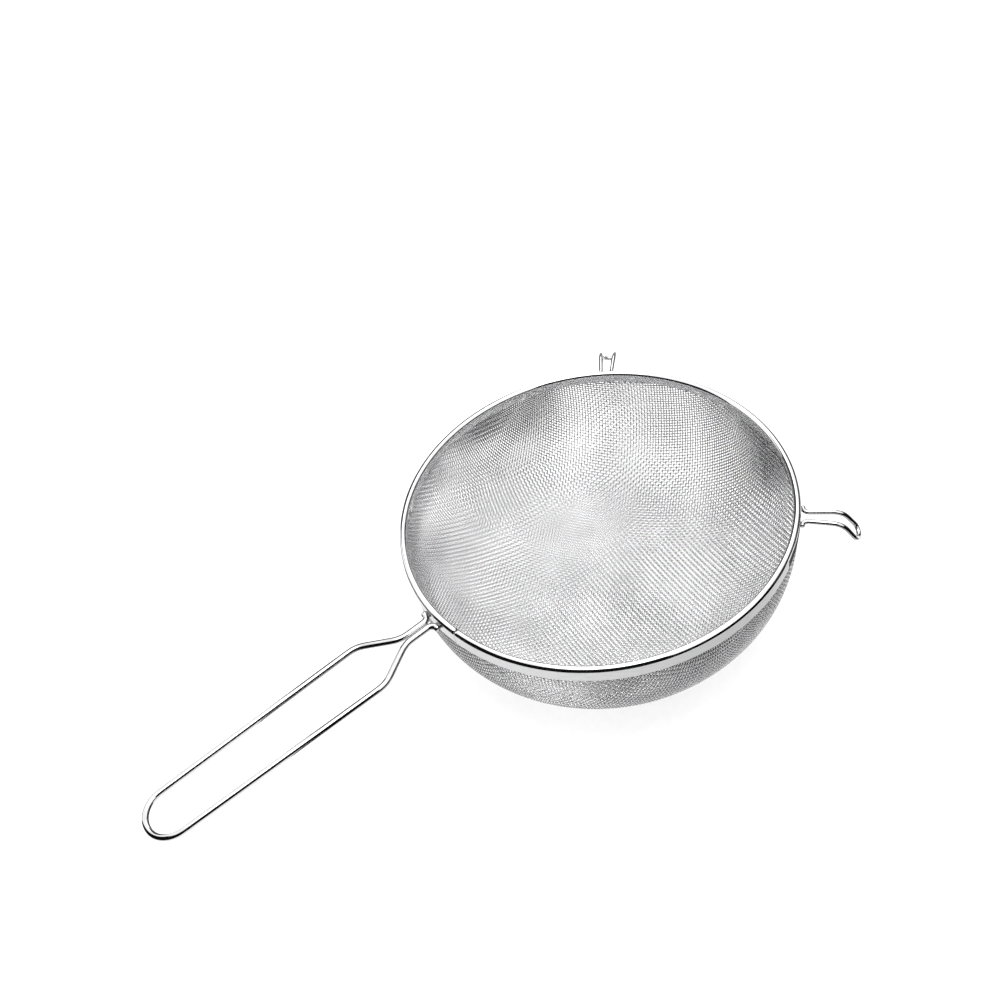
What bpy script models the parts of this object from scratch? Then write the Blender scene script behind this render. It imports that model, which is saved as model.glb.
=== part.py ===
"""Double sieve strainer for honey.

Two nested bowls of woven wire cloth are clamped in one folded steel rim, with a
long wire handle on one side and two wire hooks on the other.

Frame: the origin is the centre of the flat bottom of the bowl, +Z is up along
the rim's axis, and the handle points along -Y. Lengths below are millimetres.
"""
import math

import bmesh
import bpy
from mathutils import Vector

MM = 0.001

# Rim: a strip folded over a core wire into a round bead with two skirts.
RIM_RADIUS = 98.15         # centre line of the bead and of the clamped cloth
RIM_HEIGHT = 79.0          # centre of the bead above the bottom of the bowl
BEAD_RADIUS = 1.85         # outside of the bead
STRIP_THICKNESS = 0.4
CORE_WIRE_RADIUS = 1.05
OUTER_SKIRT_DROP = 6.5     # below the centre of the bead
INNER_SKIRT_DROP = 4.2
SEAM_GAP = 0.35
SEAM_AZIMUTH = 279.5       # degrees from +X, just beside the handle

# Sieve bowls: superelliptic section with a flat bottom.
OUTER_CLOTH = 0.8          # a little under two wire thicknesses, as the wires bed in
INNER_CLOTH = 0.8
GAP = 0.3                  # clearance between neighbouring pieces
CLOTH_TOP_DROP = 1.6       # cloth edge below the centre of the bead
BOWL_STRAIGHT_DROP = 7.0   # the wall is upright down to here
BOTTOM_FLAT_RADIUS = 16.0
SECTION_POWER_R = 2.25
SECTION_POWER_Z = 2.55

# Handle: one wire, side by side at the neck, then a long loop.
HANDLE_WIRE_RADIUS = 1.7
HANDLE_DROP = 3.4          # weld height below the centre of the bead
HANDLE_SLOPE = 0.060       # fall per unit of length away from the rim
HANDLE_END_SPREAD = 6.0
NECK_HALF_SPACING = 1.9
NECK_LENGTH = 16.0
SHOULDER_LENGTH = 34.5
SHOULDER_HALF_WIDTH = 14.0
TIP_LENGTH = 155.0
TIP_HALF_WIDTH = 12.3

# Hooks: hairpins that run out level and turn down at the tip.
HOOK_ANGLE = 47.5          # each side of +Y
HOOK_WIRE_RADIUS = 1.2
HOOK_DROP = 2.1
HOOK_END_SPREAD = 6.0
HOOK_ROOT_HALF_SPACING = 2.8
HOOK_BEND_HALF_SPACING = 3.9
HOOK_TIP_HALF_SPACING = 4.5
HOOK_REACH = 17.8          # level length from the rim to the bend
HOOK_TIP_REACH = 25.8
HOOK_TIP_FALL = 11.4

RING_STEPS = 60
SECTION_STEPS = 10
ARC_STEP = math.radians(18.0)


def clear_scene():
    for obj in list(bpy.data.objects):
        bpy.data.objects.remove(obj, do_unlink=True)


def new_collection(name):
    collection = bpy.data.collections.new(name)
    bpy.context.scene.collection.children.link(collection)
    return collection


def steel(name, colour, roughness):
    material = bpy.data.materials.new(name)
    material.use_nodes = True
    shader = material.node_tree.nodes["Principled BSDF"]
    shader.inputs["Base Color"].default_value = (*colour, 1.0)
    shader.inputs["Metallic"].default_value = 1.0
    shader.inputs["Roughness"].default_value = roughness
    material.diffuse_color = (*colour, 1.0)
    return material


def turned(name, section, closed, collection, material):
    """Turn a section of (radius, height) points about the Z axis."""
    mesh = bpy.data.meshes.new(name)
    shape = bmesh.new()
    verts = [shape.verts.new((r * MM, 0.0, z * MM)) for r, z in section]
    for first, second in zip(verts, verts[1:]):
        shape.edges.new((first, second))
    if closed:
        shape.edges.new((verts[-1], verts[0]))
    shape.to_mesh(mesh)
    shape.free()
    mesh.materials.append(material)
    obj = bpy.data.objects.new(name, mesh)
    collection.objects.link(obj)
    screw = obj.modifiers.new("turn", "SCREW")
    screw.axis = "Z"
    screw.angle = math.tau
    screw.steps = RING_STEPS
    screw.render_steps = RING_STEPS
    screw.use_merge_vertices = True
    screw.merge_threshold = 0.00001
    screw.use_smooth_shade = True
    return obj


def arc_points(centre, radius, start, end, count):
    """Points on an arc in the section plane, angles in degrees from +radius."""
    points = []
    for i in range(count + 1):
        angle = math.radians(start + (end - start) * i / count)
        points.append((centre[0] + radius * math.cos(angle),
                       centre[1] + radius * math.sin(angle)))
    return points


def clamp_half_gap():
    """Half the space between the skirts: both cloths and their clearances."""
    return (OUTER_CLOTH + INNER_CLOTH + 3 * GAP) / 2


def rim_section():
    """Closed section of the folded strip, outside first, from the top down."""
    centre = (RIM_RADIUS, RIM_HEIGHT)
    inside = BEAD_RADIUS - STRIP_THICKNESS
    face_in = clamp_half_gap()
    face_out = face_in + STRIP_THICKNESS
    turn_out = math.degrees(math.acos(face_out / BEAD_RADIUS))
    turn_in = math.degrees(math.acos(face_in / inside))
    outer_foot = RIM_HEIGHT - OUTER_SKIRT_DROP
    inner_foot = RIM_HEIGHT - INNER_SKIRT_DROP
    section = arc_points(centre, BEAD_RADIUS, 90.0, -turn_out, 4)
    section.append((RIM_RADIUS + face_out, outer_foot))
    section.append((RIM_RADIUS + face_in, outer_foot))
    section += arc_points(centre, inside, -turn_in, 180.0 + turn_in, 6)
    section.append((RIM_RADIUS - face_in, inner_foot))
    section.append((RIM_RADIUS - face_out, inner_foot))
    section += arc_points(centre, BEAD_RADIUS, 180.0 + turn_out, 90.0, 4)[:-1]
    return section


def bowl_curve():
    """Outer face of the outer cloth, from the rim down to the axis."""
    wall = RIM_RADIUS + clamp_half_gap() - GAP
    depth = RIM_HEIGHT - BOWL_STRAIGHT_DROP
    flat = 1.0 - (BOTTOM_FLAT_RADIUS / wall) ** SECTION_POWER_R
    last = math.asin(flat ** 0.5)
    curve = [(wall, RIM_HEIGHT - CLOTH_TOP_DROP)]
    for i in range(SECTION_STEPS + 1):
        angle = last * i / SECTION_STEPS
        radius = wall * math.cos(angle) ** (2 / SECTION_POWER_R)
        drop = math.sin(angle) ** (2 / SECTION_POWER_Z)
        full = math.sin(last) ** (2 / SECTION_POWER_Z)
        curve.append((radius, depth * (1.0 - drop / full)))
    curve.append((0.0, 0.0))
    return curve


def inset(curve, distance):
    """Move a bowl curve inwards by an even distance, keeping its two ends true."""
    moved = []
    normals = []
    for (r0, z0), (r1, z1) in zip(curve, curve[1:]):
        length = math.hypot(r1 - r0, z1 - z0)
        normals.append(((z1 - z0) / length, -(r1 - r0) / length))
    for i, (r, z) in enumerate(curve):
        a = normals[max(i - 1, 0)]
        b = normals[min(i, len(normals) - 1)]
        scale = distance / (1.0 + a[0] * b[0] + a[1] * b[1])
        moved.append((r + (a[0] + b[0]) * scale, z + (a[1] + b[1]) * scale))
    return moved


def sieve(name, outset, thickness, collection, material):
    """A cloth bowl as a thin closed shell that starts outset inside the curve."""
    curve = bowl_curve()
    outside = inset(curve, outset)
    inside = inset(curve, outset + thickness)
    section = list(reversed(inside)) + outside
    return turned(name, section, False, collection, material)


def seam_cutter(collection):
    """A thin blade that opens the butt seam of the rim strip."""
    length = 4 * BEAD_RADIUS * MM
    height = 3 * OUTER_SKIRT_DROP * MM
    azimuth = math.radians(SEAM_AZIMUTH)
    bpy.ops.mesh.primitive_cube_add(size=1.0)
    cutter = bpy.context.active_object
    cutter.name = "seam_cutter"
    cutter.scale = (length, SEAM_GAP * MM, height)
    cutter.rotation_euler = (0.0, 0.0, azimuth)
    cutter.location = (RIM_RADIUS * math.cos(azimuth) * MM,
                       RIM_RADIUS * math.sin(azimuth) * MM,
                       RIM_HEIGHT * MM)
    for other in list(cutter.users_collection):
        other.objects.unlink(cutter)
    collection.objects.link(cutter)
    cutter.hide_render = True
    cutter.display_type = "WIRE"
    return cutter


def rounded_path(corners, radii):
    """Points along straight runs whose corners are rounded by the given radii."""
    points = [corners[0]]
    for before, corner, after, radius in zip(corners, corners[1:], corners[2:], radii):
        back = (before - corner).normalized()
        ahead = (after - corner).normalized()
        turn = math.pi - back.angle(ahead)
        reach = radius * math.tan(turn / 2)
        middle = (back + ahead).normalized()
        centre = corner + middle * (radius / math.cos(turn / 2))
        start = corner + back * reach - centre
        axis = start.cross(corner + ahead * reach - centre).normalized()
        side = axis.cross(start)
        count = max(2, round(turn / ARC_STEP))
        for i in range(count + 1):
            angle = turn * i / count
            points.append(centre + start * math.cos(angle) + side * math.sin(angle))
    points.append(corners[-1])
    return points


def wire(name, points, radius, collection, material):
    curve = bpy.data.curves.new(name, "CURVE")
    curve.dimensions = "3D"
    spline = curve.splines.new("POLY")
    spline.points.add(len(points) - 1)
    for target, point in zip(spline.points, points):
        target.co = (*(point * MM), 1.0)
    curve.bevel_depth = radius * MM
    curve.bevel_resolution = 2
    curve.use_fill_caps = True
    curve.resolution_u = 1
    curve.materials.append(material)
    obj = bpy.data.objects.new(name, curve)
    collection.objects.link(obj)
    return obj


def mirrored_run(half, radii):
    """Join a half of a looped wire to its mirror image across the X = 0 plane."""
    other = [Vector((-p.x, p.y, p.z)) for p in reversed(half)]
    return half + other, radii + list(reversed(radii))


def skirt_contact(wire_radius):
    """Radius of a wire that lies along the outer skirt."""
    return RIM_RADIUS + clamp_half_gap() + STRIP_THICKNESS + GAP + wire_radius


def handle_path():
    weld = skirt_contact(HANDLE_WIRE_RADIUS)

    def at(length, side):
        height = RIM_HEIGHT - HANDLE_DROP - HANDLE_SLOPE * length
        return Vector((side, -(weld + length), height))

    end_pull = math.sqrt(weld ** 2 - HANDLE_END_SPREAD ** 2) - weld
    half = [
        at(end_pull, HANDLE_END_SPREAD),
        at(0.0, NECK_HALF_SPACING),
        at(NECK_LENGTH, NECK_HALF_SPACING),
        at(SHOULDER_LENGTH, SHOULDER_HALF_WIDTH),
        at(TIP_LENGTH, TIP_HALF_WIDTH),
    ]
    corners, radii = mirrored_run(half, [3.4, 14.0, 14.0, 12.1])
    return rounded_path(corners, radii)


def hook_path(angle):
    """A hairpin along +Y, turned about Z by the angle in degrees."""
    weld = skirt_contact(HOOK_WIRE_RADIUS)
    top = RIM_HEIGHT - HOOK_DROP

    def at(length, side, fall):
        return Vector((side, weld + length, top - fall))

    end_pull = math.sqrt(weld ** 2 - HOOK_END_SPREAD ** 2) - weld
    half = [
        at(end_pull, HOOK_END_SPREAD, 0.0),
        at(0.0, HOOK_ROOT_HALF_SPACING, 0.0),
        at(HOOK_REACH, HOOK_BEND_HALF_SPACING, 0.0),
        at(HOOK_TIP_REACH, HOOK_TIP_HALF_SPACING, HOOK_TIP_FALL),
    ]
    corners, radii = mirrored_run(half, [2.6, 9.0, 4.3])
    points = rounded_path(corners, radii)
    turn = math.radians(angle)
    cos, sin = math.cos(turn), math.sin(turn)
    return [Vector((p.x * cos - p.y * sin, p.x * sin + p.y * cos, p.z)) for p in points]


def build():
    clear_scene()
    parts = new_collection("double_sieve_strainer")
    cutters = new_collection("cutters")
    rim_steel = steel("rim_steel", (0.78, 0.78, 0.79), 0.12)
    core_steel = steel("core_steel", (0.62, 0.62, 0.63), 0.30)
    inner_steel = steel("inner_cloth_steel", (0.70, 0.70, 0.71), 0.32)
    outer_steel = steel("outer_cloth_steel", (0.66, 0.66, 0.67), 0.30)
    wire_steel = steel("wire_steel", (0.80, 0.80, 0.81), 0.10)

    rim = turned("rim_strip", rim_section(), True, parts, rim_steel)
    seam = rim.modifiers.new("seam", "BOOLEAN")
    seam.operation = "DIFFERENCE"
    seam.solver = "EXACT"
    seam.object = seam_cutter(cutters)

    core = arc_points((RIM_RADIUS, RIM_HEIGHT), CORE_WIRE_RADIUS, 90.0, -270.0, 8)
    turned("rim_core_wire", core[:-1], True, parts, core_steel)

    sieve("outer_sieve", 0.0, OUTER_CLOTH, parts, outer_steel)
    sieve("inner_sieve", OUTER_CLOTH + GAP, INNER_CLOTH, parts, inner_steel)

    wire("handle_wire", handle_path(), HANDLE_WIRE_RADIUS, parts, wire_steel)
    wire("hook_left", hook_path(HOOK_ANGLE), HOOK_WIRE_RADIUS, parts, wire_steel)
    wire("hook_right", hook_path(-HOOK_ANGLE), HOOK_WIRE_RADIUS, parts, wire_steel)


build()
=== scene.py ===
import math

import bpy
import numpy as np
from mathutils import Matrix, Vector, noise


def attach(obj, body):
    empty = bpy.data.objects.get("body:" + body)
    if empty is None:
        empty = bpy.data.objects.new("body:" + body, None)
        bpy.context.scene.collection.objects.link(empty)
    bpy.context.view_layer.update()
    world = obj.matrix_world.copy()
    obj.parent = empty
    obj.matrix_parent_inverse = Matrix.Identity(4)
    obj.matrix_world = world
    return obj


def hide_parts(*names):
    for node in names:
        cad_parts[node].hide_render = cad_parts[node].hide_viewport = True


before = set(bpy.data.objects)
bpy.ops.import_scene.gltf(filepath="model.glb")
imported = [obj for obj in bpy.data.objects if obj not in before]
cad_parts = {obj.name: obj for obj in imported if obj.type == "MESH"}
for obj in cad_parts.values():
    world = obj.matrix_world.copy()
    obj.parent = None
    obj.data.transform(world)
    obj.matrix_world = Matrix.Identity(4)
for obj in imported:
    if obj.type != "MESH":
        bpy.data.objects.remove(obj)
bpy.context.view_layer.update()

MM = 0.001
BODY = "root"

# The object, as the CAD has it.
RIM_RADIUS = 98.15
RIM_HEIGHT = 79.0
BEAD_RADIUS = 1.85
STRIP_THICKNESS = 0.4
CORE_WIRE_RADIUS = 1.05
OUTER_SKIRT_DROP = 6.5
INNER_SKIRT_DROP = 4.2
SEAM_GAP = 0.35
SEAM_AZIMUTH = 279.5
CLOTH = 0.8
GAP = 0.3
CLOTH_TOP_DROP = 1.6
BOWL_STRAIGHT_DROP = 7.0
BOTTOM_FLAT_RADIUS = 16.0
SECTION_POWER_R = 2.25
SECTION_POWER_Z = 2.55
HANDLE_WIRE_RADIUS = 1.7
HANDLE_DROP = 3.4
HANDLE_SLOPE = 0.060
HANDLE_END_SPREAD = 6.0
NECK_HALF_SPACING = 1.9
NECK_LENGTH = 16.0
SHOULDER_LENGTH = 34.5
SHOULDER_HALF_WIDTH = 14.0
TIP_LENGTH = 155.0
TIP_HALF_WIDTH = 12.3
HOOK_ANGLE = 47.5
HOOK_WIRE_RADIUS = 1.2
HOOK_DROP = 2.1
HOOK_END_SPREAD = 6.0
HOOK_ROOT_HALF_SPACING = 2.8
HOOK_BEND_HALF_SPACING = 3.9
HOOK_TIP_HALF_SPACING = 4.5
HOOK_REACH = 17.8
HOOK_TIP_REACH = 25.8
HOOK_TIP_FALL = 11.4
CLAMP_HALF_GAP = (2 * CLOTH + 3 * GAP) / 2
HANDLE_BENDS = [3.4, 14.0, 14.0, 12.1]      # radii from a foot to the tip
HOOK_BENDS = [2.6, 9.0, 4.3]

# The finish of the rim, wires and welds.
RIM_STEPS = 540
BEAD_STEPS, BEAD_INSIDE_STEPS = 22, 24      # along one quarter and along the inside
SHOULDER_ROUNDING = 0.9    # where the bead turns into a skirt
EDGE_ROUNDING = 0.16
RIM_WAVES = ((9, 0.6, 1.0), (23, 2.1, 0.7), (41, 4.0, 0.5))  # count, phase and share
BEAD_WAVE, SKIRT_WAVE = 0.010, 0.030
CORE_STEPS, CORE_SIDES = 300, 20
CORE_JOINT_TURN, CORE_JOINT_GAP = 20.0, 0.4  # degrees past the seam, and open
WIRE_END_ANGLES = [0.0, 35.0, 62.0, 82.0]
WIRE_END_DOME = 0.45       # of the wire's radius
HOOK_WIRE_SIDES = 20
HOOK_ARC_STEP, HOOK_RUN_STEP = 5.0, 1.2
WELD_BITE = 0.12           # how far the visible wires go into the skirt
WELD_ROWS, WELD_COLUMNS = 14, 26
WELD_LUMP_SCALE, WELD_LUMP_DEPTH = 1.7, 0.22
WELD_RIPPLE_SCALE, WELD_RIPPLE_DEPTH = 14.0, 0.05
WELD_LIFT, WELD_STAND_OUT = 0.05, 0.55
WELD_VARIATION = 3.1       # sets each weld's lumps apart from the last one's
HANDLE_WELD_OFFSET, HANDLE_WELD_SIZE = 4.3, (1.9, 1.1)
HOOK_WELD_OFFSET, HOOK_WELD_SIZE = 4.6, (1.5, 0.8)

# The weave.
WEAVE_PITCH = 1.64
CLOTH_WIRE = 0.45          # diameter
WEAVE_AZIMUTH = 38.5       # one family of wires at the middle of the bottom
LAYER_TURN = 1.2           # how far the outer cloth is turned from the inner
STEPS_PER_CELL = 3
CLOTH_WIRE_SIDES = 6
PIECE_QUADS = 96000        # a cloth is divided into bands of whole wires below this
END_CLEARANCE = 0.3        # of a step, between a wire's end and its next ring
SECTION_POINTS, STRAIGHT_POINTS = 900, 60
EXTRA_WALL = 22.0          # how far the bowl's section is carried on upwards
TABLE_STEP = 0.25
TABLE_MARGIN = 1.0
SOFTENING_STEPS = 14       # of the section, each way
SOLVER_STEPS = 12
SOLVER_MAX_TURN = 0.1      # radians
NET_TOLERANCE = 0.02       # of the pitch
NET_MARGIN = 0.5


# ---------------------------------------------------------------- mesh helpers
def mesh_object(name, verts, faces, uvs=None, smooth=True):
    """verts: (n, 3) in mm. faces: list of (k, sides) index arrays. uvs: one per vertex."""
    mesh = bpy.data.meshes.new(name)
    mesh.vertices.add(len(verts))
    mesh.vertices.foreach_set("co", (np.asarray(verts, np.float32) * MM).ravel())
    loops = np.concatenate([f.ravel() for f in faces]).astype(np.int32)
    sizes = np.concatenate([np.full(len(f), f.shape[1]) for f in faces])
    starts = np.concatenate([[0], np.cumsum(sizes)[:-1]]).astype(np.int32)
    mesh.loops.add(len(loops))
    mesh.loops.foreach_set("vertex_index", loops)
    mesh.polygons.add(len(starts))
    mesh.polygons.foreach_set("loop_start", starts)
    if smooth:
        mesh.polygons.foreach_set("use_smooth", np.ones(len(starts), bool))
    if uvs is not None:
        layer = mesh.uv_layers.new(name="along")
        layer.data.foreach_set("uv", np.asarray(uvs, np.float32)[loops].ravel())
    mesh.update(calc_edges=True)
    mesh.validate()
    obj = bpy.data.objects.new(name, mesh)
    bpy.context.scene.collection.objects.link(obj)
    return obj


def piece(obj, material, stands_for=()):
    obj.data.materials.append(material)
    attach(obj, BODY)
    if stands_for:
        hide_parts(*stands_for)
    return obj


def unit(v):
    return v / np.maximum(np.linalg.norm(v, axis=-1, keepdims=True), 1e-12)


# ------------------------------------------------------------- the woven cloths
def bowl_table(inset_by):
    """Section of a cloth's middle surface against its length from the axis.

    Returns arrays: length, radius, height, and the inward normal's two parts, with
    the wall carried on upwards past the rim, and the length at the cloth's top.
    """
    wall = RIM_RADIUS + CLAMP_HALF_GAP - GAP
    depth = RIM_HEIGHT - BOWL_STRAIGHT_DROP
    flat = 1.0 - (BOTTOM_FLAT_RADIUS / wall) ** SECTION_POWER_R
    last = math.asin(flat ** 0.5)
    angle = np.linspace(last, 0.0, SECTION_POINTS)
    full = math.sin(last) ** (2 / SECTION_POWER_Z)
    radius = wall * np.cos(angle) ** (2 / SECTION_POWER_R)
    height = depth * (1.0 - np.sin(angle) ** (2 / SECTION_POWER_Z) / full)
    flat_radius = np.linspace(0.0, radius[0], STRAIGHT_POINTS)[:-1]
    wall_height = np.linspace(depth, depth + EXTRA_WALL, STRAIGHT_POINTS + 1)[1:]
    radius = np.concatenate([flat_radius, radius, [wall] * STRAIGHT_POINTS])
    height = np.concatenate([0.0 * flat_radius, height, wall_height])
    length = np.concatenate([[0.0], np.cumsum(np.hypot(np.diff(radius), np.diff(height)))])
    even = np.arange(0.0, length[-1], TABLE_STEP)
    radius, height = np.interp(even, length, radius), np.interp(even, length, height)
    # The pressed bowl has no sharp turn in its section.
    reach = SOFTENING_STEPS
    weight = np.hanning(2 * reach + 3)[1:-1]
    weight /= weight.sum()
    before = slice(reach, 0, -1)
    tail_r, tail_z = radius[-1], height[-1] + TABLE_STEP * np.arange(1, reach + 1)
    radius = np.convolve(np.concatenate([-radius[before], radius, [tail_r] * reach]),
                         weight, "valid")
    height = np.convolve(np.concatenate([height[before], height, tail_z]), weight, "valid")
    tangent = unit(np.stack([np.gradient(radius), np.gradient(height)], axis=1))
    normal = np.stack([-tangent[:, 1], tangent[:, 0]], axis=1)
    radius, height = radius + normal[:, 0] * inset_by, height + normal[:, 1] * inset_by
    radius[0] = 0.0
    length = np.concatenate([[0.0], np.cumsum(np.hypot(np.diff(radius), np.diff(height)))])
    top = np.interp(RIM_HEIGHT - CLOTH_TOP_DROP, height, length)
    return {"s": length, "r": radius, "z": height, "nr": normal[:, 0], "nz": normal[:, 1],
            "dr": np.gradient(radius, length), "dz": np.gradient(height, length),
            "top": top, "end": length[-1] - TABLE_MARGIN}


def look_up(table, key, s):
    return np.interp(s, table["s"], table[key])


def on_bowl(table, s, phi):
    r = look_up(table, "r", s)
    return np.stack([r * np.cos(phi), r * np.sin(phi), look_up(table, "z", s)], axis=-1)


def next_crossings(table, a, b, s, phi, pitch):
    """Move guessed places on the bowl until each is one pitch from both a and b."""
    for _ in range(SOLVER_STEPS):
        x = on_bowl(table, s, phi)
        r, dr = look_up(table, "r", s), look_up(table, "dr", s)
        along = np.stack([dr * np.cos(phi), dr * np.sin(phi), look_up(table, "dz", s)], axis=1)
        around = np.stack([-r * np.sin(phi), r * np.cos(phi), 0 * r], axis=1)
        fa = ((x - a) ** 2).sum(1) - pitch ** 2
        fb = ((x - b) ** 2).sum(1) - pitch ** 2
        m11, m12 = 2 * ((x - a) * along).sum(1), 2 * ((x - a) * around).sum(1)
        m21, m22 = 2 * ((x - b) * along).sum(1), 2 * ((x - b) * around).sum(1)
        det = m11 * m22 - m12 * m21
        det = np.where(abs(det) < 1e-9, 1e-9, det)
        ds = np.clip((fa * m22 - fb * m12) / det, -pitch / 2, pitch / 2)
        turn = np.clip((fb * m11 - fa * m21) / det, -SOLVER_MAX_TURN, SOLVER_MAX_TURN)
        s, phi = np.clip(s - ds, 0.0, table["end"]), phi - turn
    x = on_bowl(table, s, phi)
    off = np.maximum(np.abs(np.linalg.norm(x - a, axis=1) - pitch),
                     np.abs(np.linalg.norm(x - b, axis=1) - pitch))
    fine = ((off < NET_TOLERANCE * pitch) & (s < table["end"] - NET_MARGIN)
            & (phi > 0) & (phi < math.pi / 2))
    return s, phi, fine


def quadrant_net(table, pitch):
    """Crossings of a square cloth pressed over the bowl, for one quarter of it.

    The two wires through the centre run straight up the wall. Every other crossing
    lies one pitch along the surface from the two before it, so the squares keep
    their sides and shear into diamonds between the two straight wires.
    """
    count = int(table["end"] / pitch) + 1
    s = np.full((count, count), np.nan)
    phi = np.full((count, count), np.nan)
    arm = np.arange(count) * pitch
    s[:, 0], s[0, :] = arm, arm
    phi[:, 0], phi[0, :] = 0.0, math.pi / 2
    for total in range(2, 2 * count - 1):
        i = np.arange(max(1, total - count + 1), min(count, total))
        j = total - i
        good = np.isfinite(s[i - 1, j]) & np.isfinite(s[i, j - 1])
        i, j = i[good], j[good]
        if not len(i):
            break
        a = on_bowl(table, s[i - 1, j], phi[i - 1, j])
        b = on_bowl(table, s[i, j - 1], phi[i, j - 1])
        guess = a + b - on_bowl(table, s[i - 1, j - 1], phi[i - 1, j - 1])
        guess_s = s[i - 1, j] + s[i, j - 1] - s[i - 1, j - 1]
        guess_phi = np.arctan2(guess[:, 1], guess[:, 0])
        new_s, new_phi, fine = next_crossings(table, a, b, guess_s, guess_phi, pitch)
        i, j = i[fine], j[fine]
        s[i, j], phi[i, j] = new_s[fine], new_phi[fine]
    return s, phi


def full_net(table, pitch, turn):
    """Crossings over the whole bowl: positions, inward normals and lengths from the axis."""
    s, phi = quadrant_net(table, pitch)
    count = len(s)
    index = np.arange(1 - count, count)
    sign_i, sign_j = np.sign(index)[:, None], np.sign(index)[None, :]
    a = np.abs(index)
    s = s[np.ix_(a, a)]
    phi = phi[np.ix_(a, a)]
    x = np.where(sign_i < 0, -1.0, 1.0) * np.cos(phi)
    y = np.where(sign_j < 0, -1.0, 1.0) * np.sin(phi)
    cos, sin = math.cos(math.radians(turn)), math.sin(math.radians(turn))
    x, y = x * cos - y * sin, x * sin + y * cos
    r, nr = look_up(table, "r", s), look_up(table, "nr", s)
    position = np.stack([r * x, r * y, look_up(table, "z", s)], axis=-1)
    normal = np.stack([nr * x, nr * y, look_up(table, "nz", s)], axis=-1)
    return position, unit(normal), s, index


def wire_runs(position, normal, s, index, top, parity, side):
    """Centre lines of one row of the net: samples and normals of each unbroken run."""
    inside = np.isfinite(s) & (s <= top)
    edges = np.flatnonzero(np.diff(np.concatenate([[0], inside.astype(int), [0]])))
    for first, stop in zip(edges[::2], edges[1::2]):
        last = stop - 1
        if last - first < 2:
            continue
        start, end = float(first), float(last)
        if first > 0 and np.isfinite(s[first - 1]):
            start -= (top - s[first]) / max(s[first - 1] - s[first], 1e-6)
        if last < len(s) - 1 and np.isfinite(s[last + 1]):
            end += (top - s[last]) / max(s[last + 1] - s[last], 1e-6)
        steps = np.arange(math.ceil(start * STEPS_PER_CELL + END_CLEARANCE),
                          math.floor(end * STEPS_PER_CELL - END_CLEARANCE) + 1) / STEPS_PER_CELL
        t = np.concatenate([[start], steps, [end]])
        k = np.clip(np.floor(t).astype(int), 0, len(s) - 2)
        f = (t - k)[:, None]
        p = position[k] * (1 - f) + position[k + 1] * f
        n = unit(normal[k] * (1 - f) + normal[k + 1] * f)
        wave = np.cos(math.pi * (t + index[0] + parity))
        yield p + n * (side * wave * CLOTH_WIRE / 2)[:, None], n


def tube_rings(path, normal, radius, sides):
    """Vertices of a tube round a path whose frames follow the given normals."""
    tangent = unit(np.gradient(path, axis=0))
    across = unit(np.cross(tangent, normal))
    upward = np.cross(across, tangent)
    angle = np.arange(sides) * math.tau / sides
    ring = (np.cos(angle)[None, :, None] * upward[:, None, :]
            + np.sin(angle)[None, :, None] * across[:, None, :])
    return (path[:, None, :] + radius * ring).reshape(-1, 3)


def tube_faces(rings, sides, base):
    k = np.arange(rings - 1)[:, None] * sides
    a = np.arange(sides)[None, :]
    b = (a + 1) % sides
    quads = np.stack([k + a, k + b, k + sides + b, k + sides + a], axis=-1).reshape(-1, 4)
    caps = np.stack([np.arange(sides)[::-1], (rings - 1) * sides + np.arange(sides)])
    return quads + base, caps + base


def cloth(prefix, inset_by, turn, side, material, node):
    """A woven cloth as its two families of wires, each in bands of whole wires."""
    table = bowl_table(inset_by)
    position, normal, s, index = full_net(table, WEAVE_PITCH, turn)
    for family, flip in (("warp", 1.0), ("weft", -1.0)):
        if family == "weft":
            position, normal, s = (np.swapaxes(m, 0, 1) for m in (position, normal, s))
        runs = []
        for j in range(len(index)):
            runs += list(wire_runs(position[:, j], normal[:, j], s[:, j], index,
                                   table["top"], index[j], side * flip))
        quads = sum(len(p) - 1 for p, _ in runs) * CLOTH_WIRE_SIDES
        bands = math.ceil(quads / PIECE_QUADS)
        band, verts, faces, caps, base, filled = 1, [], [], [], 0, 0
        for number, (path, n) in enumerate(runs):
            ring = tube_rings(path, n, CLOTH_WIRE / 2, CLOTH_WIRE_SIDES)
            q, c = tube_faces(len(path), CLOTH_WIRE_SIDES, base)
            verts.append(ring)
            faces.append(q)
            caps.append(c)
            base += len(ring)
            filled += len(q)
            if filled >= quads * band / bands - 1 or number == len(runs) - 1:
                obj = mesh_object(f"{prefix}_{family}_{band}", np.concatenate(verts),
                                  [np.concatenate(faces), np.concatenate(caps)])
                piece(obj, material, (node,))
                band, verts, faces, caps, base = band + 1, [], [], [], 0


# ------------------------------------------------------------------ rim and core
def arc(centre, radius, start, end, count):
    angle = np.radians(np.linspace(start, end, count + 1))
    return np.stack([centre[0] + radius * np.cos(angle),
                     centre[1] + radius * np.sin(angle)], axis=1)


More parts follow.
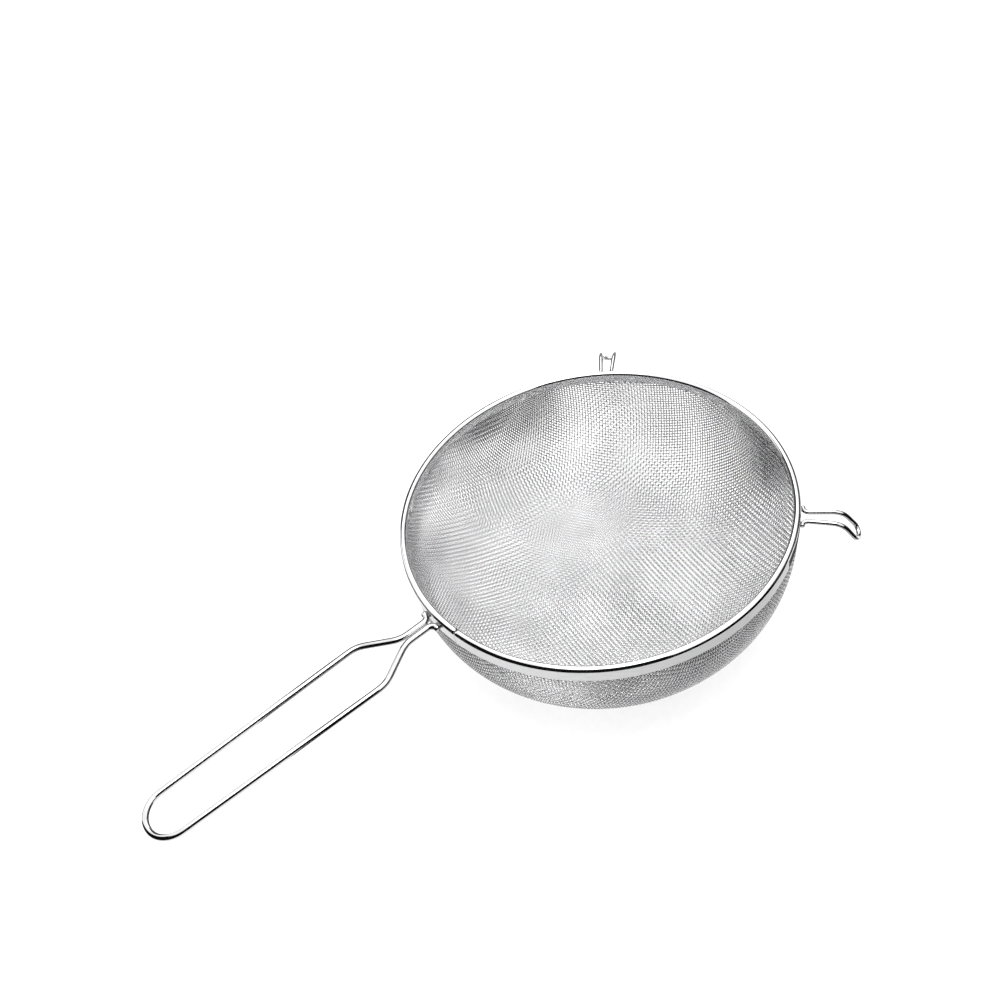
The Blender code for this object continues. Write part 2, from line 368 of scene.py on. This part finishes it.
def rounded(points, corners, count=5):
    """Round chosen corners of a closed section. corners: {index: radius}."""
    out = []
    n = len(points)
    for k in range(n):
        p = points[k]
        if k not in corners:
            out.append(p)
            continue
        radius = corners[k]
        a, b = points[k - 1] - p, points[(k + 1) % n] - p
        la, lb = np.linalg.norm(a), np.linalg.norm(b)
        a, b = a / la, b / lb
        half = math.acos(max(-1.0, min(1.0, float(a @ b)))) / 2
        reach = min(radius / math.tan(half), 0.45 * la, 0.45 * lb)
        radius = reach * math.tan(half)
        middle = (a + b) / np.linalg.norm(a + b)
        centre = p + middle * (radius / math.sin(half))
        start, end = p + a * reach - centre, p + b * reach - centre
        sweep = math.pi - 2 * half
        for i in range(count + 1):
            t = i / count
            q = (start * math.sin((1 - t) * sweep) + end * math.sin(t * sweep))
            out.append(centre + q / math.sin(sweep))
    return np.array(out)


def rim_section():
    centre = (RIM_RADIUS, RIM_HEIGHT)
    inside = BEAD_RADIUS - STRIP_THICKNESS
    face_in, face_out = CLAMP_HALF_GAP, CLAMP_HALF_GAP + STRIP_THICKNESS
    turn_out = math.degrees(math.acos(face_out / BEAD_RADIUS))
    turn_in = math.degrees(math.acos(face_in / inside))
    outer_foot, inner_foot = RIM_HEIGHT - OUTER_SKIRT_DROP, RIM_HEIGHT - INNER_SKIRT_DROP
    parts = [arc(centre, BEAD_RADIUS, 90.0, -turn_out, BEAD_STEPS)]
    corners = {BEAD_STEPS: SHOULDER_ROUNDING}
    n = BEAD_STEPS + 1
    parts.append(np.array([[RIM_RADIUS + face_out, outer_foot],
                           [RIM_RADIUS + face_in, outer_foot]]))
    corners.update({n: EDGE_ROUNDING, n + 1: EDGE_ROUNDING})
    n += 2
    parts.append(arc(centre, inside, -turn_in, 180.0 + turn_in, BEAD_INSIDE_STEPS))
    n += BEAD_INSIDE_STEPS + 1
    parts.append(np.array([[RIM_RADIUS - face_in, inner_foot],
                           [RIM_RADIUS - face_out, inner_foot]]))
    corners.update({n: EDGE_ROUNDING, n + 1: EDGE_ROUNDING})
    n += 2
    parts.append(arc(centre, BEAD_RADIUS, 180.0 + turn_out, 90.0, BEAD_STEPS)[:-1])
    corners[n] = SHOULDER_ROUNDING
    return rounded(np.concatenate(parts), corners)


def turned_strip(name, section, start, end, steps, wobble=None):
    """Turn a closed section from one azimuth to another, with a cap at each end."""
    azimuth = np.radians(np.linspace(start, end, steps + 1))
    n = len(section)
    radius = np.broadcast_to(section[None, :, 0], (steps + 1, n)).copy()
    height = np.broadcast_to(section[None, :, 1], (steps + 1, n)).copy()
    if wobble:
        radius += wobble(azimuth[:, None], height - RIM_HEIGHT)
    verts = np.stack([radius * np.cos(azimuth)[:, None], radius * np.sin(azimuth)[:, None],
                      height], axis=-1)
    around = np.concatenate([[0.0], np.cumsum(np.hypot(*np.diff(section, axis=0).T))])
    uv = np.stack([np.broadcast_to(azimuth[:, None] * RIM_RADIUS / 100, (steps + 1, n)),
                   np.broadcast_to(around[None, :] / 100, (steps + 1, n))], axis=-1)
    k = np.arange(steps)[:, None] * n
    a = np.arange(n)[None, :]
    b = (a + 1) % n
    quads = np.stack([k + a, k + n + a, k + n + b, k + b], axis=-1).reshape(-1, 4)
    caps = np.stack([np.arange(n), steps * n + np.arange(n)[::-1]])
    return mesh_object(name, verts.reshape(-1, 3), [quads, caps], uv.reshape(-1, 2))


def rim_wobble(azimuth, height):
    """Small waves that rolling leaves in a strip, least at the bead."""
    low = np.clip(-height / OUTER_SKIRT_DROP, 0.0, 1.0)
    wave = sum(share * np.sin(count * azimuth + phase) for count, phase, share in RIM_WAVES)
    return wave * (BEAD_WAVE + SKIRT_WAVE * low)


def rim(material, core_material):
    half_gap = math.degrees(SEAM_GAP / 2 / RIM_RADIUS)
    strip = turned_strip("rim_strip_polished", rim_section(), SEAM_AZIMUTH + half_gap,
                         SEAM_AZIMUTH + 360.0 - half_gap, RIM_STEPS, rim_wobble)
    piece(strip, material, ("rim_strip",))
    section = arc((RIM_RADIUS, RIM_HEIGHT), CORE_WIRE_RADIUS, 90.0, -270.0, CORE_SIDES)[:-1]
    start = SEAM_AZIMUTH + CORE_JOINT_TURN
    core = turned_strip("rim_core_wire_round", section[::-1], start,
                        start + 360.0 - CORE_JOINT_GAP, CORE_STEPS)
    piece(core, core_material, ("rim_core_wire",))


# -------------------------------------------------------------- handle and hooks
def rounded_path(corners, radii, arc_step=4.0, run_step=2.0):
    """Points along straight runs whose corners are rounded, closely spaced."""
    points = [corners[0]]

    def run_to(target):
        start = points[-1]
        count = max(1, round((target - start).length / run_step))
        for i in range(1, count + 1):
            points.append(start.lerp(target, i / count))

    for before, corner, after, radius in zip(corners, corners[1:], corners[2:], radii):
        back = (before - corner).normalized()
        ahead = (after - corner).normalized()
        turn = math.pi - back.angle(ahead)
        reach = radius * math.tan(turn / 2)
        centre = corner + (back + ahead).normalized() * (radius / math.cos(turn / 2))
        start = corner + back * reach - centre
        axis = start.cross(corner + ahead * reach - centre).normalized()
        side = axis.cross(start)
        run_to(centre + start)
        count = max(4, round(math.degrees(turn) / arc_step))
        for i in range(1, count + 1):
            angle = turn * i / count
            points.append(centre + start * math.cos(angle) + side * math.sin(angle))
    run_to(corners[-1])
    return np.array([tuple(p) for p in points])


def eased(path, passes=2):
    """Soften the change from straight to bent, as in a wire bent over a former."""
    out = path.copy()
    for _ in range(passes):
        out[1:-1] = out[1:-1] * 0.5 + (out[:-2] + out[2:]) * 0.25
    return out


def wire(name, path, radius, sides=24):
    """A round wire with gently rounded ends."""
    tangent = unit(np.gradient(path, axis=0))
    normal = np.zeros_like(path)
    axis = np.array([0.0, 0.0, 1.0])
    for i, t in enumerate(tangent):
        axis = axis - t * (axis @ t)
        axis /= np.linalg.norm(axis)
        normal[i] = axis
    ends = np.radians(WIRE_END_ANGLES)
    dome = WIRE_END_DOME * radius
    head = [path[0] - tangent[0] * dome * math.sin(a) for a in ends[:0:-1]]
    tail = [path[-1] + tangent[-1] * dome * math.sin(a) for a in ends[1:]]
    scale = np.concatenate([np.cos(ends[:0:-1]), np.ones(len(path)), np.cos(ends[1:])])
    caps = len(ends) - 1
    tangent = np.concatenate([[tangent[0]] * caps, tangent, [tangent[-1]] * caps])
    normal = np.concatenate([[normal[0]] * caps, normal, [normal[-1]] * caps])
    path = np.concatenate([head, path, tail])
    across = np.cross(tangent, normal)
    angle = np.arange(sides) * math.tau / sides
    ring = (np.cos(angle)[None, :, None] * normal[:, None, :]
            + np.sin(angle)[None, :, None] * across[:, None, :])
    verts = path[:, None, :] + ring * (radius * scale)[:, None, None]
    length = np.concatenate([[0.0], np.cumsum(np.linalg.norm(np.diff(path, axis=0), axis=1))])
    uv = np.stack([np.broadcast_to(length[:, None] / 100, (len(path), sides)),
                   np.broadcast_to(angle[None, :] * radius / 100, (len(path), sides))], axis=-1)
    quads, ends = tube_faces(len(path), sides, 0)
    return mesh_object(name, verts.reshape(-1, 3), [quads, ends], uv.reshape(-1, 2))


def both_sides(half, radii):
    """Carry one half's corners and bends on over the YZ plane."""
    other = [Vector((-p.x, p.y, p.z)) for p in reversed(half)]
    return half + other, radii + list(reversed(radii))


def skirt_contact(wire_radius):
    """Radius at which a wire's centre line stops short of the outer skirt."""
    return RIM_RADIUS + CLAMP_HALF_GAP + STRIP_THICKNESS + GAP + wire_radius


WELD_SINK = GAP + WELD_BITE


def handle_path():
    weld = skirt_contact(HANDLE_WIRE_RADIUS)

    def at(length, side, pull=0.0):
        return Vector((side, -(weld + length - pull),
                       RIM_HEIGHT - HANDLE_DROP - HANDLE_SLOPE * length))

    end_pull = math.sqrt(weld ** 2 - HANDLE_END_SPREAD ** 2) - weld
    half = [at(end_pull, HANDLE_END_SPREAD, WELD_SINK), at(0.0, NECK_HALF_SPACING, WELD_SINK),
            at(NECK_LENGTH, NECK_HALF_SPACING), at(SHOULDER_LENGTH, SHOULDER_HALF_WIDTH),
            at(TIP_LENGTH, TIP_HALF_WIDTH)]
    corners, radii = both_sides(half, HANDLE_BENDS)
    return eased(rounded_path(corners, radii))


def hook_path(angle):
    weld = skirt_contact(HOOK_WIRE_RADIUS)

    def at(length, side, fall, pull=0.0):
        return Vector((side, weld + length - pull, RIM_HEIGHT - HOOK_DROP - fall))

    end_pull = math.sqrt(weld ** 2 - HOOK_END_SPREAD ** 2) - weld
    half = [at(end_pull, HOOK_END_SPREAD, 0.0, WELD_SINK),
            at(0.0, HOOK_ROOT_HALF_SPACING, 0.0, WELD_SINK),
            at(HOOK_REACH, HOOK_BEND_HALF_SPACING, 0.0),
            at(HOOK_TIP_REACH, HOOK_TIP_HALF_SPACING, HOOK_TIP_FALL)]
    corners, radii = both_sides(half, HOOK_BENDS)
    path = eased(rounded_path(corners, radii, HOOK_ARC_STEP, HOOK_RUN_STEP))
    turn = np.array(Matrix.Rotation(math.radians(angle), 3, "Z"))
    return path @ turn.T


def weld_bead(name, azimuth, height, length, width, seed):
    """A small lump of weld metal between a wire and the skirt, lying along the rim."""
    rows, cols = WELD_ROWS, WELD_COLUMNS
    lat = np.linspace(0.0, math.pi, rows)
    lon = np.arange(cols) * math.tau / cols
    shape = np.stack([np.sin(lat)[:, None] * np.cos(lon)[None, :],
                      np.sin(lat)[:, None] * np.sin(lon)[None, :],
                      np.broadcast_to(np.cos(lat)[:, None], (rows, cols))], axis=-1)
    flat = shape.reshape(-1, 3)
    start = Vector((seed, 0.3, 0.7))
    lumps = np.array([noise.noise(Vector(p * WELD_LUMP_SCALE) + start) for p in flat])
    ripple = WELD_RIPPLE_DEPTH * np.sin(flat[:, 2] * WELD_RIPPLE_SCALE)
    flat = flat * (1.0 + WELD_LUMP_DEPTH * lumps + ripple)[:, None]
    face = RIM_RADIUS + CLAMP_HALF_GAP + STRIP_THICKNESS
    a = math.radians(azimuth)
    out = np.array([math.cos(a), math.sin(a), 0.0])
    tangent = np.array([-math.sin(a), math.cos(a), 0.0])
    up = np.array([0.0, 0.0, 1.0])
    verts = (out * (face + WELD_LIFT) + up * height + flat[:, :1] * out * WELD_STAND_OUT
             + flat[:, 1:2] * up * width + flat[:, 2:3] * tangent * length)
    k = np.arange(1, rows - 2)[:, None] * cols
    c = np.arange(cols)[None, :]
    d = (c + 1) % cols
    quads = np.stack([k + c, k + cols + c, k + cols + d, k + d], axis=-1).reshape(-1, 4)
    c = np.arange(cols)
    d = (c + 1) % cols
    top = np.stack([np.zeros(cols, int), cols + c, cols + d], axis=1)
    end = (rows - 1) * cols
    low = np.stack([end + 0 * c, end - cols + d, end - cols + c], axis=1)
    return mesh_object(name, verts, [quads, top, low])


def handle_and_hooks(material, weld_material):
    piece(wire("handle_wire_bent", handle_path(), HANDLE_WIRE_RADIUS), material,
          ("handle_wire",))
    spots = []
    for side, name in ((-1, "left"), (1, "right")):
        hook = wire(f"hook_{name}_bent", hook_path(-side * HOOK_ANGLE), HOOK_WIRE_RADIUS,
                    HOOK_WIRE_SIDES)
        piece(hook, material, (f"hook_{name}",))
        middle = 90.0 - side * HOOK_ANGLE
        for number, offset in enumerate((-1, 1)):
            azimuth = middle + offset * math.degrees(HOOK_WELD_OFFSET / RIM_RADIUS)
            spots.append((f"hook_{name}_weld_{number + 1}", azimuth, HOOK_DROP, *HOOK_WELD_SIZE))
        azimuth = 270.0 + side * math.degrees(HANDLE_WELD_OFFSET / RIM_RADIUS)
        spots.append((f"handle_weld_{name}", azimuth, HANDLE_DROP, *HANDLE_WELD_SIZE))
    for number, (name, azimuth, drop, length, width) in enumerate(spots):
        seed = number * WELD_VARIATION
        bead = weld_bead(name, azimuth, RIM_HEIGHT - drop, length, width, seed)
        piece(bead, weld_material)


# ---------------------------------------------------------------------- materials
class Nodes:
    """Short-hand for building a material's nodes."""

    def __init__(self, name):
        self.material = bpy.data.materials.new(name)
        self.material.use_nodes = True
        self.tree = self.material.node_tree
        self.shader = self.tree.nodes["Principled BSDF"]

    def add(self, kind, **values):
        node = self.tree.nodes.new("ShaderNode" + kind)
        for key, value in values.items():
            setattr(node, key, value)
        return node

    def link(self, source, target):
        self.tree.links.new(source, target)

    def noise(self, vector, scale, detail=3.0, roughness=0.5):
        node = self.add("TexNoise")
        node.inputs["Scale"].default_value = scale
        node.inputs["Detail"].default_value = detail
        node.inputs["Roughness"].default_value = roughness
        self.link(vector, node.inputs["Vector"])
        return node.outputs["Fac"]

    def stretched(self, vector, scale):
        node = self.add("Mapping")
        node.inputs["Scale"].default_value = scale
        self.link(vector, node.inputs["Vector"])
        return node.outputs["Vector"]

    def spread(self, value, low, high, start=0.3, end=0.7):
        node = self.add("MapRange")
        self.link(value, node.inputs["Value"])
        for key, number in (("From Min", start), ("From Max", end),
                            ("To Min", low), ("To Max", high)):
            node.inputs[key].default_value = number
        return node.outputs["Result"]

    def ramp(self, value, stops):
        node = self.add("ValToRGB")
        while len(node.color_ramp.elements) < len(stops):
            node.color_ramp.elements.new(0.5)
        for element, (place, colour) in zip(node.color_ramp.elements, stops):
            element.position = place
            element.color = (*colour, 1.0)
        self.link(value, node.inputs["Fac"])
        return node.outputs["Color"]

    def math(self, operation, a, b):
        node = self.add("Math", operation=operation)
        for socket, value in zip(node.inputs, (a, b)):
            if isinstance(value, (int, float)):
                socket.default_value = value
            else:
                self.link(value, socket)
        return node.outputs["Value"]

    def bump(self, value, strength, distance):
        node = self.add("Bump")
        node.inputs["Strength"].default_value = strength
        node.inputs["Distance"].default_value = distance
        self.link(value, node.inputs["Height"])
        self.link(node.outputs["Normal"], self.shader.inputs["Normal"])


def polished_steel(name, light, dark, rough, streak):
    """Drawn or rolled stainless steel: fine lines along its length, faint smears."""
    n = Nodes(name)
    n.shader.inputs["Metallic"].default_value = 1.0
    along = n.add("UVMap", uv_map="along").outputs["UV"]
    lines = n.noise(n.stretched(along, (6.0, 900.0, 1.0)), 1.0, 4.0, 0.6)
    smears = n.noise(n.stretched(along, (18.0, 60.0, 1.0)), 1.0, 2.0)
    colour = n.ramp(smears, [(0.30, dark), (0.62, light)])
    n.link(colour, n.shader.inputs["Base Color"])
    base = n.spread(smears, rough * 0.75, rough * 1.5)
    n.link(n.math("ADD", base, n.spread(lines, 0.0, streak, 0.45, 0.8)),
           n.shader.inputs["Roughness"])
    n.bump(lines, 0.05, 0.00002)
    return n.material


def cloth_steel(name, light, dark, rough):
    """Wire of the cloth: each stretch a little brighter or duller than the next."""
    n = Nodes(name)
    n.shader.inputs["Metallic"].default_value = 1.0
    place = n.add("TexCoord").outputs["Object"]
    broad = n.noise(place, 28.0, 2.0)
    small = n.noise(place, 900.0, 1.0)
    mixed = n.math("ADD", n.math("MULTIPLY", broad, 0.55), n.math("MULTIPLY", small, 0.45))
    n.link(n.ramp(mixed, [(0.36, dark), (0.62, light)]), n.shader.inputs["Base Color"])
    n.link(n.spread(mixed, rough * 1.35, rough * 0.75), n.shader.inputs["Roughness"])
    return n.material


def weld_metal():
    n = Nodes("weld_metal")
    n.shader.inputs["Metallic"].default_value = 1.0
    place = n.add("TexCoord").outputs["Object"]
    grain = n.noise(place, 1600.0, 3.0)
    n.link(n.ramp(grain, [(0.35, (0.10, 0.095, 0.09)), (0.65, (0.42, 0.40, 0.38))]),
           n.shader.inputs["Base Color"])
    n.link(n.spread(grain, 0.32, 0.6), n.shader.inputs["Roughness"])
    n.bump(grain, 0.4, 0.0001)
    return n.material


def floor_white():
    n = Nodes("floor_white")
    place = n.add("TexCoord").outputs["Object"]
    grain = n.noise(place, 260.0, 2.0)
    n.link(n.ramp(grain, [(0.3, (0.51, 0.51, 0.51)), (0.7, (0.53, 0.53, 0.53))]),
           n.shader.inputs["Base Color"])
    n.shader.inputs["Emission Color"].default_value = (1.0, 1.0, 1.0, 1.0)
    n.shader.inputs["Emission Strength"].default_value = FLOOR_GLOW
    n.shader.inputs["Roughness"].default_value = 0.8
    n.shader.inputs["Specular IOR Level"].default_value = 0.2
    return n.material


def flag_cloth(name, grey):
    n = Nodes(name)
    place = n.add("TexCoord").outputs["Object"]
    cloud = n.noise(place, 3.0, 1.0)
    dark, light = (grey * 0.8,) * 3, (grey * 1.2,) * 3
    n.link(n.ramp(cloud, [(0.3, dark), (0.7, light)]), n.shader.inputs["Base Color"])
    n.shader.inputs["Roughness"].default_value = 1.0
    n.shader.inputs["Specular IOR Level"].default_value = 0.0
    return n.material


# --------------------------------------------------------------- stage and camera
CAMERA_AZIMUTH = 64.26
CAMERA_ELEVATION = 46.259
CAMERA_ROLL = -13.912
CAMERA_DISTANCE = 580.95   # from the centre of the rim
CAMERA_LENS = 41.81
FRAME_RIGHT = 47.46        # how far the rim's centre lies right of and below the axis
FRAME_DOWN = 2.82
FLOOR_RADIUS = 4000.0
FLOOR_INNER_RADII = (0.001, 300.0)
FLOOR_DEPTH = -0.05
FLOOR_GLOW = 0.34          # keeps the shaded floor nearly white

# Flags are cards that the camera sees only as reflections in the polished steel. Walls
# stand round the stage, a low ribbon and flat cards lie nearer. Spans are azimuths.
FLAG_RADIUS = 620.0
FLAG_WALLS = (              # name, start, end, height and grey
    ("back", 112.0, 155.0, 420.0, 0.250),
    ("far", 155.0, 197.0, 640.0, 0.050),
    ("left", 197.0, 238.0, 160.0, 0.100),
    ("front", 238.0, 352.0, 900.0, 0.004),
    ("front_low", 352.0, 404.0, 400.0, 0.004),
    ("right", 404.0, 472.0, 440.0, 0.040))
RIBBON_RADIUS = 190.0
RIBBON_BOTTOM, RIBBON_TOP = 3.0, 60.0
RIBBON_SPAN = (226.0, 404.0)
FAR_CARD_SPAN = (238.0, 557.0)
CARD_INNER = 470.0
NEAR_CARD = (103.0, 190.0)  # inner and outer radius
NEAR_GREY_SPAN = (226.0, 413.0)
NEAR_DARK_SPAN = (413.0, 470.0)
LEFT_DARK_SPAN = (525.0, 557.0)
NEAR_HEIGHT, FAR_HEIGHT, LEFT_HEIGHT = 0.3, 0.4, 0.5
BLACK, DARK_GREY, MID_GREY = 0.004, 0.045, 0.46
WALL_STEPS = 48
WORLD_STRENGTH = 1.72
TOP_LIGHT = (0.1, 0.05, 1.8)                # metres, as are the next three
BACK_LIGHT = (-1.31, 0.64, 1.27)
LIGHT_AIM = (0.0, 0.0, 0.05)
LIGHT_SIZE = 1.2
TOP_LIGHT_POWER = 22.0
BACK_LIGHT_POWER = 7.0


def make_camera():
    azimuth, elevation, roll = (math.radians(v) for v in
                                (CAMERA_AZIMUTH, CAMERA_ELEVATION, CAMERA_ROLL))
    turn = Matrix.Rotation(azimuth, 3, "Z")
    back = turn @ Vector((0.0, -math.cos(elevation), math.sin(elevation)))
    right = turn @ Vector((1.0, 0.0, 0.0))
    up = back.cross(right)
    across = right * math.cos(roll) + up * math.sin(roll)
    upward = up * math.cos(roll) - right * math.sin(roll)
    place = (Vector((0.0, 0.0, RIM_HEIGHT)) + back * CAMERA_DISTANCE
             - across * FRAME_RIGHT + upward * FRAME_DOWN) * MM
    data = bpy.data.cameras.new("camera")
    data.lens = CAMERA_LENS
    data.sensor_width = 36.0
    data.clip_start, data.clip_end = 0.01, 50.0
    camera = bpy.data.objects.new("camera", data)
    bpy.context.scene.collection.objects.link(camera)
    matrix = Matrix((across, upward, back)).transposed().to_4x4()
    matrix.translation = place
    camera.matrix_world = matrix
    bpy.context.scene.camera = camera


def band(name, rings, start, end, steps, material):
    """A sheet between circles given as (radius, height), over some azimuths."""
    azimuth = np.radians(np.linspace(start, end, steps + 1))
    rings = np.array(rings)
    n = len(rings)
    verts = np.stack([rings[None, :, 0] * np.cos(azimuth)[:, None],
                      rings[None, :, 0] * np.sin(azimuth)[:, None],
                      np.broadcast_to(rings[None, :, 1], (steps + 1, n))], axis=-1)
    k = np.arange(steps)[:, None] * n
    a = np.arange(n - 1)[None, :]
    quads = np.stack([k + a, k + n + a, k + n + a + 1, k + a + 1], axis=-1).reshape(-1, 4)
    obj = mesh_object(name, verts.reshape(-1, 3), [quads])
    obj.data.materials.append(material)
    return obj


def seen_in_reflections_only(obj):
    obj.visible_camera = False
    obj.visible_diffuse = False
    obj.visible_shadow = False
    obj.visible_transmission = False


def area_light(name, place, aim, size, energy):
    data = bpy.data.lights.new(name, "AREA")
    data.shape = "DISK"
    data.size = size
    data.energy = energy
    obj = bpy.data.objects.new(name, data)
    bpy.context.scene.collection.objects.link(obj)
    obj.location = Vector(place)
    obj.rotation_mode = "QUATERNION"
    obj.rotation_quaternion = (Vector(aim) - Vector(place)).to_track_quat("-Z", "Y")
    return obj


def flat_card(name, inner, outer, height, span, steps, grey):
    return band(name, [(inner, height), (outer, height)], *span, steps,
                flag_cloth(name + "_cloth", grey))


def wall(name, radius, bottom, top, span, steps, grey):
    return band(name, [(radius, bottom), (radius, top)], *span, steps,
                flag_cloth(name + "_cloth", grey))


def make_flags():
    near, far = NEAR_CARD
    flags = [
        flat_card("flag_floor", CARD_INNER, FLAG_RADIUS, FAR_HEIGHT, FAR_CARD_SPAN, 96, BLACK),
        wall("flag_ribbon", RIBBON_RADIUS, RIBBON_BOTTOM, RIBBON_TOP, RIBBON_SPAN, 60, BLACK),
        flat_card("flag_near_grey", near, far, NEAR_HEIGHT, NEAR_GREY_SPAN, 48, MID_GREY),
        flat_card("flag_near_dark", near, far, NEAR_HEIGHT, NEAR_DARK_SPAN, 24, DARK_GREY),
        flat_card("flag_left_dark", near, CARD_INNER, LEFT_HEIGHT, LEFT_DARK_SPAN, 24,
                  DARK_GREY)]
    for name, start, end, height, grey in FLAG_WALLS:
        flags.append(wall("flag_" + name, FLAG_RADIUS, 0.0, height, (start, end),
                          WALL_STEPS, grey))
    for flag in flags:
        seen_in_reflections_only(flag)


def make_stage():
    radii = (*FLOOR_INNER_RADII, FLOOR_RADIUS)
    band("floor", [(radius, FLOOR_DEPTH) for radius in radii], 0.0, 360.0, 96, floor_white())
    make_flags()
    area_light("soft_top", TOP_LIGHT, LIGHT_AIM, LIGHT_SIZE, TOP_LIGHT_POWER)
    area_light("soft_back", BACK_LIGHT, LIGHT_AIM, LIGHT_SIZE, BACK_LIGHT_POWER)
    world = bpy.data.worlds.new("studio")
    world.use_nodes = True
    background = world.node_tree.nodes["Background"]
    background.inputs["Color"].default_value = (1.0, 1.0, 1.0, 1.0)
    background.inputs["Strength"].default_value = WORLD_STRENGTH
    bpy.context.scene.world = world
    bpy.context.scene.view_settings.view_transform = "Standard"


def build():
    make_camera()
    make_stage()
    bright = polished_steel("polished_rim", (0.62, 0.62, 0.625), (0.56, 0.56, 0.565), 0.04, 0.05)
    drawn = polished_steel("polished_wire", (0.55, 0.55, 0.555), (0.47, 0.47, 0.475), 0.05, 0.06)
    core = polished_steel("dull_core_wire", (0.55, 0.55, 0.55), (0.40, 0.40, 0.40), 0.30, 0.10)
    inner = cloth_steel("inner_wire_cloth", (0.72, 0.72, 0.725), (0.56, 0.56, 0.565), 0.13)
    # The outer cloth is the same steel wire as the inner one. Its lighter base colour is painted
    # light, standing in for light that falls on the bowl's outer wall below the rim.
    outer = cloth_steel("outer_wire_cloth_painted_lighter", (0.84, 0.84, 0.845), (0.68, 0.68, 0.685), 0.15)
    rim(bright, core)
    handle_and_hooks(drawn, weld_metal())
    cloth("outer_cloth", CLOTH / 2, WEAVE_AZIMUTH + LAYER_TURN, 1.0, outer,
          "outer_sieve")
    cloth("inner_cloth", CLOTH + GAP + CLOTH / 2, WEAVE_AZIMUTH, 1.0, inner,
          "inner_sieve")


build()
